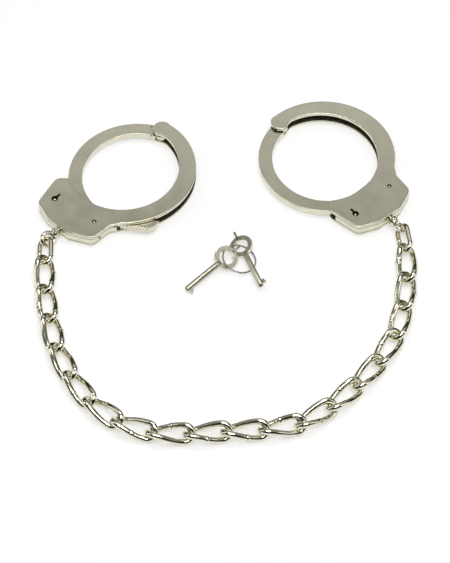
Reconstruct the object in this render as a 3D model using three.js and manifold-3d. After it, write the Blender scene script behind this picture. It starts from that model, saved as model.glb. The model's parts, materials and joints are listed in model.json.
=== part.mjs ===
// A pair of ratchet leg cuffs joined by a twenty-link twisted chain, with two keys on a split ring.
// Millimetres, +Z up. The set lies on z = 0: both cuffs flat on their lower cheek, the chain in a loop
// in front of them (-Y) and the keys between them. The origin is under the middle of the set.
import * as THREE from "three";
import { mergeVertices } from "three/addons/utils/BufferGeometryUtils.js";
import Module from "manifold-3d";

const wasm = await Module();
wasm.setup();

// ---- cuff: plan sizes, seen from above, origin at the centre of the ankle opening ---------------
const CUFF_THICK = 10.0; // over both cheeks
const CHEEK_T = 2.4;
const GAP_T = CUFF_THICK - 2 * CHEEK_T; // room between the cheeks
const MID_Z = CUFF_THICK / 2;
const SEAM = 0.1; // play between the cheeks and what is riveted between them
const OPENING_R = 40.0;
const STRAND_OUTER_R = 50.4;
const STRAND_OUTER_C = [1.6, -1.6];
const PIVOT = [27.3, 34.2];
const EAR_R = 6.7;
const PAWL_PIN = [-18.8, -50.8];
const KEYHOLE = [-47.2, -30.5];
const KEYHOLE_R = 2.2;
const KEYHOLE_SLOT = { length: 5.2, width: 1.5, angle: 47 };
const POST_R = 1.1;
const POST_TOP = CUFF_THICK - 0.6;
// corners of the lock housing, clockwise from the jaw's way in: x, y, corner radius
const HOUSING = [
  [-46.6, -11.4, 6.5],
  [-59.2, -33.8, 5.5],
  [-51.5, -48.0, 3.0],
  [-37.0, -60.6, 4.0],
  [-19.5, -65.8, 6.0],
  [-8.2, -54.5, 7.0],
];
const CASE_RIVETS = [
  [-47.9, -20.2],
  [-28.5, -60.2],
];
const CASE_RIVET_R = 1.5;
const PIN_R = 1.2;
const PIN_HOLE_R = 1.45;
const PIVOT_RIVET_R = 2.2;
const PIVOT_HOLE_R = 2.35;

// ---- jaw: drawn about its pivot, the centre of its curve lying along +X -------------------------
const JAW_CENTRE = 45.4; // pivot to centre of the curve
const JAW_OUTER_R = 48.6;
const JAW_INNER_R = 38.9;
const JAW_T = 4.6;
const TONGUE_T = 3.4; // under the ear
const TONGUE_R = 8.6;
const HUB_R = 4.9;
const TOOTH_PITCH = 1.5; // degrees about the pivot
const TOOTH_COUNT = 24;
const TOOTH_LAND = 0.35; // degrees across a tooth's flat top
const TOOTH_TIP_R = 90.5;
const TOOTH_ROOT_R = 89.1;
const TOOTH_FIRST = -18.25; // degrees from the jaw's centre line to the first steep face
const TIP_INNER = 21.5; // degrees, where the inner edge ends
const BEND_AT = -13.0; // degrees, where the inner edge leaves its circle to run under the teeth
const SMOOTH_END = TOOTH_FIRST - 2.2; // degrees, where the smooth outer edge stops short of the teeth
const JAW_ANGLE = { left: 247.75, right: 235.75 }; // direction of the jaw's centre line from the pivot

// ---- lock work, in degrees and radii about the jaw pivot ----------------------------------------
const CHANNEL_R = 92.4; // outer wall of the jaw's channel
const POCKET_R = 105.6;
const POCKET = [221.5, 243.8]; // the pocket's two ends
const KEY_WELL_R = 6.0;
const PAWL_BOSS_R = 3.4;
const PAWL_TOOTH_AT = [234.0, 235.5, 237.0]; // steep faces of the jaw's teeth that it catches
const PAWL_LIFT = 9.0; // degrees the pawl is held clear of the teeth
const PAWL_T = GAP_T - 0.6;
const LOCK_WALL = [-14.9, -61.2]; // where the double-lock plunger's bore leaves the housing
const LOCK_DIR = 135; // degrees, into the housing
const LOCK_BORE_R = 1.2;
const LOCK_PIN_R = 0.9;
const LOCK_PIN = [1.8, 7.2]; // its two ends, as depths below the wall

// ---- swivel: turned about its own stud ----------------------------------------------------------
const STUD_AT = [-43.5, -54.9]; // where the stud leaves the housing
const STUD_DIR = 229.2;
const STUD_R = 1.7;
const STUD_BORE_R = 1.95;
const STUD_HEAD_R = 2.4;
const COLLAR_R = 4.0;
const EYE_R = 4.8; // centreline
const EYE_WIRE_R = 1.5;
const EYE_OUT = 11.0; // eye centre from the wall
const EYE_TURN = { left: 43.4, right: 42.1 }; // tilt of the eye out of the level

// ---- chain --------------------------------------------------------------------------------------
const LINK_PITCH = 25.0;
const LINK_WIRE_R = 2.3;
const LINK_HALF_W = 5.7; // centreline
const LINK_TWIST = 45; // each way, at the two ends
const LINK_PLAY = 2.6; // from a contact to either wire's centre
const END_SPAN = 22.4; // wire centre to wire centre of the short end links
const END_WIRE_R = 2.0;
const END_HALF_W = 4.8;
// how each end link lies, leaving its eye: degrees, and the shift of its end from the eye's centre
const END_LINKS = {
  left: { number: 1, roll: 31.3, heading: -88.8, climb: 4.8, shift: [-1.85, 0.48, -0.79] },
  right: { number: 20, roll: 49.5, heading: -82.4, climb: 4.5, shift: [0.26, 0.13, 0.38] },
};
const CHAIN_Z = 6.0;
const CHAIN_START = [-125.3, 12.3]; // contact of the first two links
// resting heading of each full link, from the left cuff to the right one
const HEADINGS = [-87, -81, -77, -66, -57, -40, -21, -2, 5, 4, 11, 34, 45, 52, 61, 76, 83, 90];

// ---- keys ---------------------------------------------------------------------------------------
const BOW_R = 8.5;
const BOW_HOLE_R = 5.0;
const BOW_T = 2.0;
const SHANK_R = 2.1;
const SHANK_BORE_R = 1.35;
const SHANK_END = 37.5; // from the bow's centre
const BIT = { reach: 4.8, length: 3.2, thick: 2.2 };
const PEG = { radius: 0.8, end: 14.0 };
const BOW_EYELET = { at: -6.6, radius: 0.75 };
const RING_R = 11.75;
const RING_WIRE_R = 0.6;

// ---- finishes: colour, roughness ----------------------------------------------------------------
const FINISH = {
  satin: [0xa9a794, 0.38],
  polished: [0xc9c6b4, 0.16],
  spring: [0x6f6d66, 0.3],
};

// ---- where the big pieces lie -------------------------------------------------------------------
const CUFF_AT = {
  left: { at: [-73.0, 95.2], turn: 0 },
  right: { at: [68.4, 104.2], turn: 81.2 },
};
const KEYS_AT = {
  key_a: { at: [0.6, 16.5, 5.78], heading: 223.6, roll: -24.1, pitch: 4.2, bit: 1 },
  key_b: { at: [11.2, 27.6, 4.21], heading: -68.4, roll: 21.9, pitch: -2.0, bit: 1 },
};
const RING_AT = [9.8, 17.04, 3.52];
const RING_TILT = 13.8; // degrees, low side to the right, under the shank of key_b

const rad = (degrees) => (degrees * Math.PI) / 180;
const polar = (r, degrees, c = [0, 0]) => [
  c[0] + r * Math.cos(rad(degrees)),
  c[1] + r * Math.sin(rad(degrees)),
];
const round4 = (v) => Math.round(v * 1e4) / 1e4;

// ---- solids -------------------------------------------------------------------------------------
function solid(geometry) {
  const g = geometry.index ? geometry.toNonIndexed() : geometry.clone();
  for (const name of Object.keys(g.attributes)) {
    if (name !== "position") g.deleteAttribute(name);
  }
  const merged = mergeVertices(g, 1e-4);
  return new wasm.Manifold(
    new wasm.Mesh({
      numProp: 3,
      vertProperties: merged.attributes.position.array,
      triVerts: new Uint32Array(merged.index.array),
    }),
  );
}

function geometryOf(body) {
  const m = body.getMesh();
  const xyz = new Float32Array(m.numVert * 3);
  for (let i = 0; i < m.numVert; i++) {
    xyz.set(m.vertProperties.subarray(i * m.numProp, i * m.numProp + 3), i * 3);
  }
  return new THREE.BufferGeometry()
    .setAttribute("position", new THREE.BufferAttribute(xyz, 3))
    .setIndex(new THREE.BufferAttribute(new Uint32Array(m.triVerts), 1));
}

// A flat plate from z0 to z1 with the outline given as [x, y] points.
function plate(points, z0, z1) {
  const shape = new THREE.Shape(points.map(([x, y]) => new THREE.Vector2(round4(x), round4(y))));
  const g = new THREE.ExtrudeGeometry(shape, { depth: z1 - z0, bevelEnabled: false, steps: 1 });
  return solid(g.translate(0, 0, z0));
}

function disc(r, at, z0, z1, sides = 24) {
  const g = new THREE.CylinderGeometry(r, r, z1 - z0, sides);
  return solid(g.rotateX(Math.PI / 2).translate(at[0], at[1], (z0 + z1) / 2));
}

// Points along an arc, both ends included.
function arc(c, r, from, to, steps) {
  return Array.from({ length: steps + 1 }, (_, i) => polar(r, from + ((to - from) * i) / steps, c));
}

// Rounds each middle corner [x, y, r] of an open path.
function rounded(path, steps = 4) {
  const out = [path[0].slice(0, 2)];
  for (let i = 1; i < path.length - 1; i++) {
    const p = new THREE.Vector2(path[i][0], path[i][1]);
    const a = new THREE.Vector2(path[i - 1][0], path[i - 1][1]).sub(p).normalize();
    const b = new THREE.Vector2(path[i + 1][0], path[i + 1][1]).sub(p).normalize();
    const half = Math.acos(THREE.MathUtils.clamp(a.dot(b), -1, 1)) / 2;
    const c = a.clone().add(b).normalize().multiplyScalar(path[i][2] / Math.sin(half)).add(p);
    const start = a.multiplyScalar(path[i][2] / Math.tan(half)).add(p).sub(c).angle();
    let sweep = b.multiplyScalar(path[i][2] / Math.tan(half)).add(p).sub(c).angle() - start;
    if (sweep > Math.PI) sweep -= 2 * Math.PI;
    if (sweep < -Math.PI) sweep += 2 * Math.PI;
    for (let k = 0; k <= steps; k++) {
      const t = start + (sweep * k) / steps;
      out.push([c.x + path[i][2] * Math.cos(t), c.y + path[i][2] * Math.sin(t)]);
    }
  }
  out.push(path[path.length - 1].slice(0, 2));
  return out;
}

// ---- cheeks and case frame ----------------------------------------------------------------------
const angleOf = ([x, y], c = [0, 0]) => (Math.atan2(y - c[1], x - c[0]) * 180) / Math.PI;

// The whole cheek outline: housing corners, outer edge of the strand, round ear, inner edge.
function cheekOutline() {
  const way_in = polar(OPENING_R, 197.5);
  const strand_from = [0.5, STRAND_OUTER_C[1] - STRAND_OUTER_R];
  const housing = rounded([way_in, ...HOUSING, strand_from]);
  const out_end = angleOf(PIVOT, STRAND_OUTER_C) - 1.5;
  const outer = arc(STRAND_OUTER_C, STRAND_OUTER_R, angleOf(strand_from, STRAND_OUTER_C) + 3, out_end, 22);
  const ear = arc(PIVOT, EAR_R, 40, 218, 12);
  const inner = arc([0, 0], OPENING_R, 41, -160, 34);
  return [...housing, ...outer, ...ear, ...inner];
}

function keyholeCut(z0, z1) {
  const { length, width, angle } = KEYHOLE_SLOT;
  const slot = solid(
    new THREE.BoxGeometry(length, width, z1 - z0)
      .translate(length / 2, 0, (z0 + z1) / 2)
      .rotateZ(rad(angle))
      .translate(KEYHOLE[0], KEYHOLE[1], 0),
  );
  return disc(KEYHOLE_R, KEYHOLE, z0, z1).add(slot);
}

function cheek(z0, z1, withKeyhole) {
  let body = plate(cheekOutline(), z0, z1);
  body = body.subtract(disc(PIVOT_HOLE_R, PIVOT, z0 - 1, z1 + 1));
  body = body.subtract(disc(PIN_HOLE_R, PAWL_PIN, z0 - 1, z1 + 1));
  for (const at of CASE_RIVETS) body = body.subtract(disc(CASE_RIVET_R + SEAM, at, z0 - 1, z1 + 1));
  if (withKeyhole) body = body.subtract(keyholeCut(z0 - 1, z1 + 1));
  return body;
}

// A sector about the jaw pivot between two radii.
function sector(r0, r1, from, to, z0, z1, steps = 14) {
  return plate([...arc(PIVOT, r1, from, to, steps), ...arc(PIVOT, r0, to, from, steps)], z0, z1);
}

// A round rod from one point of the plan to another, at the cuff's mid height.
function rod(r, from, degrees, length, sides = 20) {
  const g = new THREE.CylinderGeometry(r, r, length, sides).rotateZ(-Math.PI / 2);
  g.translate(length / 2, 0, 0).rotateZ(rad(degrees)).translate(from[0], from[1], MID_Z);
  return solid(g);
}

// Middle layer of the housing: everything outside the jaw's channel, less the pocket for the lock work.
function caseFrame() {
  const z0 = CHEEK_T + SEAM;
  const z1 = CUFF_THICK - CHEEK_T - SEAM;
  let body = plate(rounded([[-30, -20, 0], ...HOUSING, [-3, -53.6, 0]]), z0, z1);
  body = body.subtract(sector(60, CHANNEL_R, 195, 262, z0 - 1, z1 + 1, 24));
  body = body.subtract(sector(CHANNEL_R - 4, POCKET_R, POCKET[0], POCKET[1], z0 - 1, z1 + 1));
  body = body.subtract(disc(KEY_WELL_R, KEYHOLE, z0 - 1, z1 + 1, 28));
  for (const at of CASE_RIVETS) body = body.subtract(disc(CASE_RIVET_R + SEAM, at, z0 - 1, z1 + 1));
  body = body.subtract(rod(STUD_BORE_R, polar(2, STUD_DIR, STUD_AT), STUD_DIR + 180, 14));
  body = body.subtract(rod(LOCK_BORE_R, polar(2, LOCK_DIR + 180, LOCK_WALL), LOCK_DIR, 12));
  return body;
}

// ---- jaw and lock work --------------------------------------------------------------------------
// Radius about the pivot of a circle of radius r round the jaw's own centre.
function reach(r, degrees) {
  const s = JAW_CENTRE * Math.sin(rad(degrees));
  return JAW_CENTRE * Math.cos(rad(degrees)) + Math.sqrt(Math.max(0, r * r - s * s));
}

function toothEdge() {
  const out = [];
  for (let k = TOOTH_COUNT - 1; k >= 0; k--) {
    const at = TOOTH_FIRST + k * TOOTH_PITCH;
    out.push(polar(TOOTH_ROOT_R, at + TOOTH_PITCH * 0.93), polar(TOOTH_TIP_R, at + TOOTH_LAND));
    out.push(polar(TOOTH_TIP_R, at), polar(TOOTH_ROOT_R, at - 0.02));
  }
  return out;
}

// Outline of the jaw about its pivot: inner edge out to the tip, back along the teeth and the smooth edge.
function jawOutline() {
  const c = [JAW_CENTRE, 0];
  const bend = polar(reach(JAW_INNER_R, BEND_AT), BEND_AT);
  const smooth = polar(reach(JAW_OUTER_R, SMOOTH_END), SMOOTH_END);
  const inner = arc(c, JAW_INNER_R, -176, angleOf(bend, c), 24);
  const under_teeth = arc([0, 0], Math.hypot(...bend), BEND_AT + 2, TIP_INNER, 12);
  const tip = [polar(TOOTH_ROOT_R - 4.2, TIP_INNER - 0.7), polar(TOOTH_TIP_R - 2.0, TIP_INNER - 2.6)];
  const outer = arc(c, JAW_OUTER_R, angleOf(smooth, c), -176, 26);
  return [...inner, ...under_teeth, ...tip, ...toothEdge(), ...outer];
}

function jaw(turn) {
  const z0 = MID_Z - JAW_T / 2;
  const z1 = MID_Z + JAW_T / 2;
  const trim = (JAW_T - TONGUE_T) / 2;
  let body = plate(jawOutline(), z0, z1).add(disc(HUB_R + 1.0, [0, 0], z0, z1, 24));
  for (const [a, b] of [
    [z0 - 1, z0 + trim],
    [z1 - trim, z1 + 1],
  ]) {
    body = body.subtract(disc(TONGUE_R, [0, 0], a, b, 32).subtract(disc(HUB_R, [0, 0], a, b, 24)));
  }
  body = body.subtract(disc(PIVOT_HOLE_R, [0, 0], z0 - 2, z1 + 2));
  return geometryOf(body).rotateZ(rad(turn));
}

// The pawl in mesh with the teeth, then lifted clear of them about its pin. Drawn about the jaw pivot.
function pawl() {
  const teeth = [];
  for (const at of PAWL_TOOTH_AT) {
    teeth.push(polar(TOOTH_TIP_R + 0.45, at - TOOTH_PITCH + TOOTH_LAND));
    teeth.push(polar(TOOTH_ROOT_R + 0.5, at - 0.42), polar(TOOTH_ROOT_R + 0.5, at - 0.16));
    teeth.push(polar(TOOTH_TIP_R + 0.45, at - 0.16));
  }
  const nose = [polar(97.6, 225.4), polar(94.4, 225.0), polar(92.6, 226.4)];
  const pin = [PAWL_PIN[0] - PIVOT[0], PAWL_PIN[1] - PIVOT[1]];
  const heel = [polar(97.4, 240.6), polar(101.9, 240.6), polar(101.9, 239.6), polar(98.4, 238.2)];
  const back = [...heel, ...arc([0, 0], 97.6, 237, 227, 6)];
  const arm = [...back, ...nose, ...teeth, polar(91.6, 237.4), polar(94, 240)];
  const z0 = MID_Z - PAWL_T / 2;
  let body = plate(arm, z0, z0 + PAWL_T).add(disc(PAWL_BOSS_R, pin, z0, z0 + PAWL_T));
  body = body.subtract(disc(PIN_HOLE_R, pin, z0 - 1, z0 + PAWL_T + 1));
  return geometryOf(body).translate(-pin[0], -pin[1], 0).rotateZ(rad(PAWL_LIFT));
}

// Leaf spring behind the pawl: a thin strip through points given as [radius, degrees] about the jaw pivot.
function pawlSpring() {
  const line = [
    [105.0, 243.2],
    [104.6, 241.0],
    [103.4, 238.0],
    [101.7, 235.0],
    [101.0, 233.4],
    [101.6, 232.6],
  ];
  const inner = line.map(([r, t]) => polar(r - 0.3, t, PIVOT));
  const outer = line.map(([r, t]) => polar(r + 0.3, t, PIVOT)).reverse();
  return geometryOf(plate([...inner, ...outer], MID_Z - 1.9, MID_Z + 1.9));
}

// ---- swivel -------------------------------------------------------------------------------------
// Turned along +X from the wall, then the eye, tilted about the stud, is joined to it.
function swivel(tilt) {
  const profile = [
    [0, -10.2],
    [STUD_HEAD_R, -10.2],
    [STUD_HEAD_R, -8.6],
    [STUD_R, -8.6],
    [STUD_R, 0.4],
    [2.5, 0.4],
    [2.5, 1.7],
    [COLLAR_R, 1.9],
    [COLLAR_R, 4.6],
    [COLLAR_R - 1.2, 5.6],
    [2.0, 6.6],
    [0, 6.9],
  ];
  const g = new THREE.LatheGeometry(profile.map(([r, y]) => new THREE.Vector2(r, y)), 18);
  const stud = solid(g.rotateZ(-Math.PI / 2));
  const eye = solid(new THREE.TorusGeometry(EYE_R, EYE_WIRE_R, 10, 24).translate(EYE_OUT, 0, 0));
  const hole_r = EYE_R - EYE_WIRE_R + 0.02;
  const hole = new THREE.CylinderGeometry(hole_r, hole_r, 12, 24).rotateX(Math.PI / 2);
  const cut = solid(hole.translate(EYE_OUT, 0, 0));
  return geometryOf(stud.subtract(cut).add(eye)).rotateX(-rad(tilt));
}

// ---- chain --------------------------------------------------------------------------------------
// Centreline of a link along X: a stadium whose two ends are turned opposite ways about X.
class LinkCurve extends THREE.Curve {
  constructor(span, halfWidth, twist) {
    super();
    this.end = span / 2;
    this.halfWidth = halfWidth;
    this.twist = rad(twist);
  }
  getPoint(t, target = new THREE.Vector3()) {
    const h = this.halfWidth;
    const leg = 2 * (this.end - h);
    const bend = Math.PI * h;
    const s = (((t % 1) + 1) % 1) * 2 * (leg + bend);
    const far = s >= leg + bend;
    const d = far ? s - leg - bend : s;
    const a = Math.max(0, d - leg) / h;
    let x = d < leg ? -leg / 2 + d : leg / 2 + h * Math.sin(a);
    let v = d < leg ? -h : -h * Math.cos(a);
    if (far) [x, v] = [-x, -v];
    const phi = this.twist * Math.sin(((x / this.end) * Math.PI) / 2);
    return target.set(x, v * Math.cos(phi), v * Math.sin(phi));
  }
}

function link(span, halfWidth, twist, wire, rings) {
  const curve = new LinkCurve(span, halfWidth, twist);
  const g = new THREE.TubeGeometry(curve, rings, wire, 8, true);
  return geometryOf(solid(g));
}

// ---- keys ---------------------------------------------------------------------------------------
// A key along +X: ring bow at the origin, hollow shank and bit ahead, double-lock peg behind.
function key(side) {
  const sides = 16;
  const tube = (r, from, to, n = sides) => {
    const g = new THREE.CylinderGeometry(r, r, to - from, n).rotateZ(Math.PI / 2);
    return solid(g.translate((from + to) / 2, 0, 0));
  };
  const flat = (r, n) => solid(new THREE.CylinderGeometry(r, r, BOW_T, n).rotateX(Math.PI / 2));
  const hole = (r, x, n) =>
    solid(new THREE.CylinderGeometry(r, r, 3 * BOW_T, n).rotateX(Math.PI / 2).translate(x, 0, 0));
  const bit = solid(
    new THREE.BoxGeometry(BIT.length, BIT.reach, BIT.thick).translate(
      SHANK_END - BIT.length / 2 - 0.4,
      (side * BIT.reach) / 2,
      0,
    ),
  );
  let body = flat(BOW_R, 40).add(tube(SHANK_R, BOW_HOLE_R + 1.2, SHANK_END)).add(bit);
  body = body.add(tube(PEG.radius, -PEG.end, -BOW_R + 1.2, 12));
  body = body.subtract(hole(BOW_HOLE_R, 0, 36)).subtract(hole(BOW_EYELET.radius, BOW_EYELET.at, 12));
  body = body.subtract(tube(SHANK_BORE_R, SHANK_END - 9, SHANK_END + 1, 12));
  return geometryOf(body);
}

// ---- assembly -----------------------------------------------------------------------------------
const root = new THREE.Group();
root.name = "leg_cuffs";

function finishOf(name) {
  if (name.endsWith("spring") || name === "key_ring") return FINISH.spring;
  if (/link|swivel|jaw|rivet|pin$/.test(name)) return FINISH.polished;
  return FINISH.satin;
}

function place(parent, name, geometry, x = 0, y = 0, z = 0) {
  const [color, roughness] = finishOf(name);
  const mesh = new THREE.Mesh(geometry, new THREE.MeshStandardMaterial({ color, roughness, metalness: 1 }));
  mesh.name = name;
  mesh.position.set(x, y, z);
  parent.add(mesh);
  return mesh;
}

function buildCuff(side) {
  const { at, turn } = CUFF_AT[side];
  const cuff = new THREE.Group();
  cuff.position.set(at[0], at[1], 0);
  cuff.rotation.z = rad(turn);
  root.add(cuff);
  const put = (name, body, ...xyz) => place(cuff, `${side}_${name}`, body, ...xyz);
  const top0 = CUFF_THICK - CHEEK_T;
  put("bottom_cheek", geometryOf(cheek(0, CHEEK_T, false)));
  put("top_cheek", geometryOf(cheek(top0, CUFF_THICK, true)));
  put("case_frame", geometryOf(caseFrame()));
  put("jaw", jaw(JAW_ANGLE[side]), PIVOT[0], PIVOT[1]);
  put("jaw_rivet", geometryOf(disc(PIVOT_RIVET_R, [0, 0], 0, CUFF_THICK)), PIVOT[0], PIVOT[1]);
  put("pawl", pawl(), PAWL_PIN[0], PAWL_PIN[1]);
  put("pawl_pin", geometryOf(disc(PIN_R, [0, 0], 0, CUFF_THICK, 20)), PAWL_PIN[0], PAWL_PIN[1]);
  put("pawl_spring", pawlSpring());
  put("keyhole_post", geometryOf(disc(POST_R, KEYHOLE, CHEEK_T + SEAM, POST_TOP, 16)));
  const plunger = rod(LOCK_PIN_R, [0, 0], LOCK_DIR, LOCK_PIN[1] - LOCK_PIN[0], 16);
  put("double_lock_pin", geometryOf(plunger), ...polar(LOCK_PIN[0], LOCK_DIR, LOCK_WALL));
  CASE_RIVETS.forEach((where, i) => {
    put(`case_rivet_${i + 1}`, geometryOf(disc(CASE_RIVET_R, where, 0, CUFF_THICK, 18)));
  });
  const stud = put("swivel", swivel(EYE_TURN[side]), STUD_AT[0], STUD_AT[1], MID_Z);
  stud.rotation.z = rad(STUD_DIR);
}

// Places a link by its middle, heading, climb and roll.
function putLink(number, geometry, middle, heading, climb, roll) {
  const mesh = place(root, `link_${String(number).padStart(2, "0")}`, geometry, ...middle);
  mesh.rotation.order = "ZYX";
  mesh.rotation.set(rad(roll), -rad(climb), rad(heading));
}

function eyeCentre(side) {
  const { at, turn } = CUFF_AT[side];
  const local = polar(EYE_OUT, STUD_DIR, STUD_AT);
  const [x, y] = [Math.cos(rad(turn)), Math.sin(rad(turn))];
  return [at[0] + local[0] * x - local[1] * y, at[1] + local[0] * y + local[1] * x, MID_Z];
}

// A short end link hangs from the eye of each cuff.
function putEndLink(side) {
  const { number, roll, heading, climb, shift } = END_LINKS[side];
  const half = END_SPAN / 2;
  const [dx, dy] = polar(half * Math.cos(rad(climb)), heading);
  const along = [dx, dy, half * Math.sin(rad(climb))];
  const middle = eyeCentre(side).map((v, i) => v + along[i] + shift[i]);
  putLink(number, link(END_SPAN, END_HALF_W, 0, END_WIRE_R, 24), middle, heading, climb, roll);
}

function buildChain() {
  const span = LINK_PITCH + 2 * LINK_PLAY;
  let contact = CHAIN_START;
  putEndLink("left");
  HEADINGS.forEach((heading, i) => {
    const middle = polar(LINK_PITCH / 2, heading, contact);
    const body = link(span, LINK_HALF_W, LINK_TWIST, LINK_WIRE_R, 30);
    putLink(i + 2, body, [...middle, CHAIN_Z], heading, 0, 0);
    contact = polar(LINK_PITCH, heading, contact);
  });
  putEndLink("right");
}

function buildKeys() {
  for (const [name, { at, heading, roll, pitch, bit }] of Object.entries(KEYS_AT)) {
    const mesh = place(root, name, key(bit), ...at);
    mesh.rotation.order = "ZYX";
    mesh.rotation.set(rad(roll), rad(pitch), rad(heading));
  }
  const ring = solid(new THREE.TorusGeometry(RING_R, RING_WIRE_R, 6, 48));
  place(root, "key_ring", geometryOf(ring), ...RING_AT).rotation.y = rad(RING_TILT);
}

buildCuff("left");
buildCuff("right");
buildChain();
buildKeys();

// The origin goes under the middle of the set.
const box = new THREE.Box3().setFromObject(root, true);
root.position.set(-(box.min.x + box.max.x) / 2, -(box.min.y + box.max.y) / 2, -box.min.z);

export default root;
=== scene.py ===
import json
import math

import bpy
import numpy as np
from mathutils import Matrix, Vector, geometry, noise


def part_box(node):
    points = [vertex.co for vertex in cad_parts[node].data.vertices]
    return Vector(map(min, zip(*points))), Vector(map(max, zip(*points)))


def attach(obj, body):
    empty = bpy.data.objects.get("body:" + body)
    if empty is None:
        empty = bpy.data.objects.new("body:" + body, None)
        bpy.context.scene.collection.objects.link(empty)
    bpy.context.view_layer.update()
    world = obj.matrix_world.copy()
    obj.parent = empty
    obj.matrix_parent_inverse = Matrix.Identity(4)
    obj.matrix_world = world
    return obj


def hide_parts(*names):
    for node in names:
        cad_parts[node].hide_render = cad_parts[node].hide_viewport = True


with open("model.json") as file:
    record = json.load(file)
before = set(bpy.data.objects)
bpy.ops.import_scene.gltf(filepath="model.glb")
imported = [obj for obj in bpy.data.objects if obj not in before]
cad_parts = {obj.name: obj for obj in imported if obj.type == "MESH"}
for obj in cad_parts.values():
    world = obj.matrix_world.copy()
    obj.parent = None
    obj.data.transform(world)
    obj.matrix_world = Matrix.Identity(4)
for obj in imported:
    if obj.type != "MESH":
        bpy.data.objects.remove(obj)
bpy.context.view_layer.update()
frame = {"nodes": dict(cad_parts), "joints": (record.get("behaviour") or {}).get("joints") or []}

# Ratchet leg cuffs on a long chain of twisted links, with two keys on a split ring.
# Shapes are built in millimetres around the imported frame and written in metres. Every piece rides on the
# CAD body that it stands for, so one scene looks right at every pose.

JOINTS = {joint["name"]: joint for joint in frame["joints"]}

MM = 0.001
SIDES = ("left", "right")

# ---- camera and studio, metres and degrees ----------------------------------------------------------
TARGET = (-0.0007, -0.0085, 0.0)
ELEVATION = 53.15
DISTANCE = 2.081
LENS = 240.0
SENSOR = 36.0
ROLL = 0.37

# ---- shapes, millimetres ----------------------------------------------------------------------------
CHEEK_EDGE = 0.55  # rounding of a cheek's outer edge
SEAM_EDGE = 0.24  # rounding of the edges that meet in the case's seams
RIVET_EDGE = 0.04  # rivets are ground flush and plated over
JAW_EDGE = 0.45
CORNER = 33.0  # an outline turns more than this, in degrees, only at a real corner
GUARD = 0.06  # narrow flat ring inside each rounded edge, which keeps the flat face's shading flat
SKIN = 0.01  # the filled-in curves stay inside the CAD outline by this much
# DARK is painted shade, for seams, hole walls and faces hidden between plates.
FLAT, EDGE, DARK = 0, 1, 2  # order of a plate's materials

LINK = {"span": 30.2, "half": 5.64, "twist": 39.0, "wire": 2.19}
END_LINK = {"span": 22.4, "half": 4.8, "twist": 0.0, "wire": 1.92}
WELD_WIDTH = 0.7
WELD_RISE = 0.26
WELD_INSIDE = (2, 4, 5, 7, 9, 12, 14, 16, 17, 19)  # links welded on the side towards the keys

EYE_R = 4.8
EYE_WIRE_R = 1.5
EYE_OUT = 11.0
SHANK_END = 37.5
BOW_R = 8.5
BOW_HOLE_R = 5.0
BOW_T = 2.0
KEY_EDGE = 0.35  # rounding of the bow's edges
BIT_EDGE = 0.22
PEG_HOLE_AT = -6.6  # middle of the eyelet, along the key from the bow's middle
BORE_FROM = 13  # place in the barrel profile where its hollow tip begins
EYELET_BORE_FROM = 7  # the same for the eyelet
TONGUE_OVERLAP = 0.8  # the jaw's tongue runs this far into its blade
RIM_REACH = 0.15  # points this near the farthest one are on the tongue's rim
THIN_EDGE = 0.2  # rounding of the tongue's and the hub's edges
PAWL_EDGE = 0.08
BORE_PLAY = 0.15  # between the double-lock pin and its bore
PLUG_STEP = 0.7  # the double-lock pin's head is this far inside the hole's mouth

LINK_STEPS = 132  # rings round one link
EYE_STEPS = 72
EYE_VOXEL = 0.24
EYE_ROUNDS = 7  # smoothing passes that blend the eye into its shoulder
COIL_STEPS = 220
COIL_SIDES = 16
COIL_ACROSS, COIL_TALL = 0.52, 0.27  # half sizes of the split ring's flattened wire
COIL_GAP = 0.62  # between the middles of its two turns

# ends of upright pins: depth below the end, share of the radius
FLUSH_END = ((0, 0), (0, 0.6), (0, 1.045), (0.02, 1.055))
PIN_END = ((0.05, 0), (0.1, 0.35), (0.25, 0.62), (0.55, 0.8), (0.9, 0.82), (1.0, 1.0))
POST_END = ((0.0, 0), (0.06, 0.4), (0.25, 0.8), (0.55, 1.0))

# turned shapes: place along the axis, radius
STUD_PROFILE = [
    (-10.2, 0), (-10.2, 2.1), (-9.9, 2.4), (-8.9, 2.4), (-8.6, 2.1), (-8.6, 1.7), (0.4, 1.7), (0.4, 2.45),
    (1.7, 2.45), (1.75, 3.4), (1.95, 3.85), (2.3, 4.0), (2.75, 4.0), (3.0, 3.85), (3.1, 3.25), (3.45, 3.2),
    (3.55, 3.75), (3.75, 3.92), (4.3, 3.92), (4.75, 3.6), (4.95, 3.0), (4.95, 0),
]
SHOULDER_PROFILE = [(4.2, 0), (4.2, 3.3), (5.0, 3.15), (5.8, 2.6), (6.6, 1.9), (6.9, 0)]
BARREL_PROFILE = [
    (5.6, 0), (5.6, 0.9), (5.9, 1.35), (6.6, 1.75), (7.8, 2.05), (9.2, 2.1), (9.6, 2.1), (9.75, 1.95),
    (10.1, 1.95), (10.25, 2.1), (37.1, 2.1), (37.4, 1.98), (37.5, 1.75), (37.45, 1.45), (37.2, 1.32),
    (28.5, 1.3), (28.0, 0),
]
PEG_PROFILE = [(-14.0, 0), (-13.9, 0.55), (-13.5, 0.8), (-9.4, 0.8), (-8.8, 0.95), (-7.2, 1.0), (-7.2, 0)]
EYELET_PROFILE = [
    (-1.0, 0), (-1.0, 0.7), (-1.12, 0.8), (-1.12, 1.15), (-0.95, 1.3), (0.95, 1.3), (1.12, 1.15), (1.12, 0.8),
    (0.9, 0.7), (0.5, 0.66), (0.5, 0),
]
BIT_OUTLINE = [(33.9, 0.6), (37.1, 0.6), (37.1, 4.8), (35.9, 4.8), (35.9, 3.9), (33.9, 3.9)]


# ---- small helpers ----------------------------------------------------------------------------------
def unit(v):
    return np.asarray(v, float) / np.linalg.norm(v)


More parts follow.
